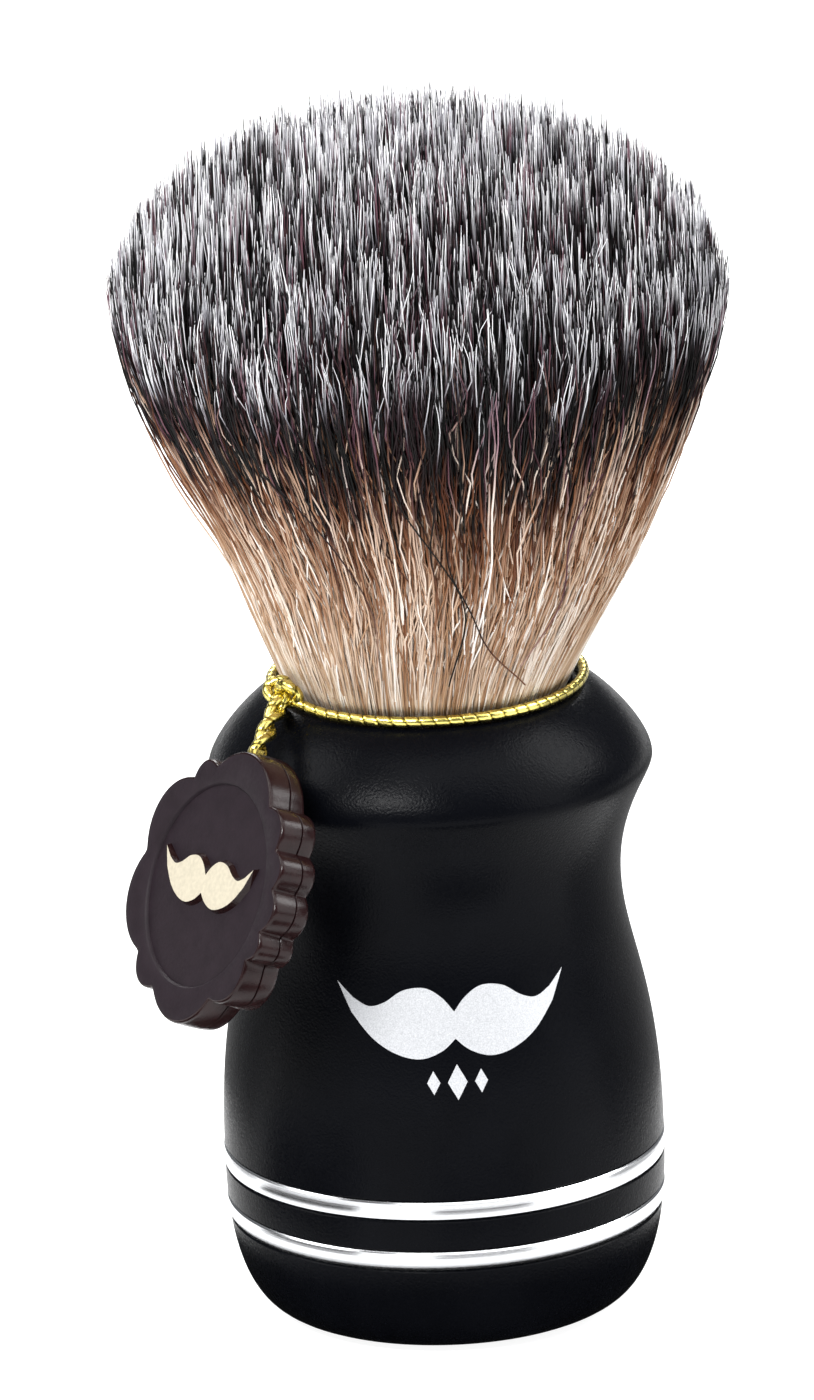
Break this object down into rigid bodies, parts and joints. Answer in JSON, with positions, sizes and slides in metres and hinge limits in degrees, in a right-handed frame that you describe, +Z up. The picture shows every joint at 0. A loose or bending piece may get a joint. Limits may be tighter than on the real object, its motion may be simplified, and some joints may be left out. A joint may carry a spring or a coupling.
{
  "type": "shaving brush",
  "caption": "Shaving brush with a waisted black handle, bright trim rings, a flared soft knot of bristles and a scalloped seal hanging on a gold cord.",
  "frame": {"origin": "middle of the rubber foot's underside, where the brush stands", "axes": "+Z up along the handle's axis towards the bristles, -Y to the front of the brush, +X to the right as seen from the front"},
  "size_m": [0.0526, 0.0546, 0.1061],
  "materials": {
    "black_lacquer": "satin, with a fine orange-peel texture",
    "bright_aluminium": "polished, turned",
    "zinc_steel": "zinc plated",
    "insert_brass": "knurled",
    "weight_iron": "as cast",
    "foot_rubber": "matte",
    "epoxy": "cured resin",
    "cup_nylon": "moulded",
    "potting": "resin with the roots of the bristles in it",
    "bristles": "crimped synthetic fibre, beige at the root, dark brown above and white at the tips",
    "gold_tinsel": "metallised strip wound round an elastic core",
    "seal_plastic": "satin face, glossier rim",
    "cream_emblem": "satin"
  },
  "bodies": {
    "handle": {"handle_body": "black_lacquer", "upper_trim_ring": "bright_aluminium", "trim_spacer": "black_lacquer", "lower_trim_ring": "bright_aluminium", "handle_base": "black_lacquer", "ballast_weight": "weight_iron", "threaded_insert": "insert_brass", "assembly_screw": "zinc_steel", "screw_washer": "zinc_steel", "foot_pad": "foot_rubber", "epoxy_bed": "epoxy", "knot_cup": "cup_nylon", "knot_plug": "potting", "bristle_bundle": "bristles"},
    "neck_cord": {"cord_loop": "gold_tinsel", "cord_knot": "gold_tinsel"},
    "leash": {"leash_strand_a": "gold_tinsel", "leash_strand_b": "gold_tinsel"},
    "cord_end": {"seal_cord_end": "gold_tinsel"},
    "seal": {"seal_front": "seal_plastic", "seal_back": "seal_plastic", "seal_emblem": "cream_emblem"}
  },
  "joints": [
    {"name": "loop_slips_round_neck", "type": "hinge", "parent": "handle", "child": "neck_cord", "pos_m": [0, 0, 0.05615], "axis": [0, 0, 1], "continuous": true},
    {"name": "leash_lifts", "type": "hinge", "parent": "neck_cord", "child": "leash", "pos_m": [-0.01235, -0.00778, 0.057], "axis": [-0.5329, 0.8462, 0], "range_deg": [0, 70]},
    {"name": "seal_swings_out", "type": "hinge", "parent": "leash", "child": "cord_end", "pos_m": [-0.01461, -0.0145, 0.05429], "axis": [-0.5269, 0.8453, -0.0884], "range_deg": [0, 35]},
    {"name": "seal_turns_on_cord", "type": "hinge", "parent": "cord_end", "child": "seal", "pos_m": [-0.01461, -0.0145, 0.05429], "axis": [0.2871, 0.2749, 0.9176], "range_deg": [0, 25]}
  ]
}
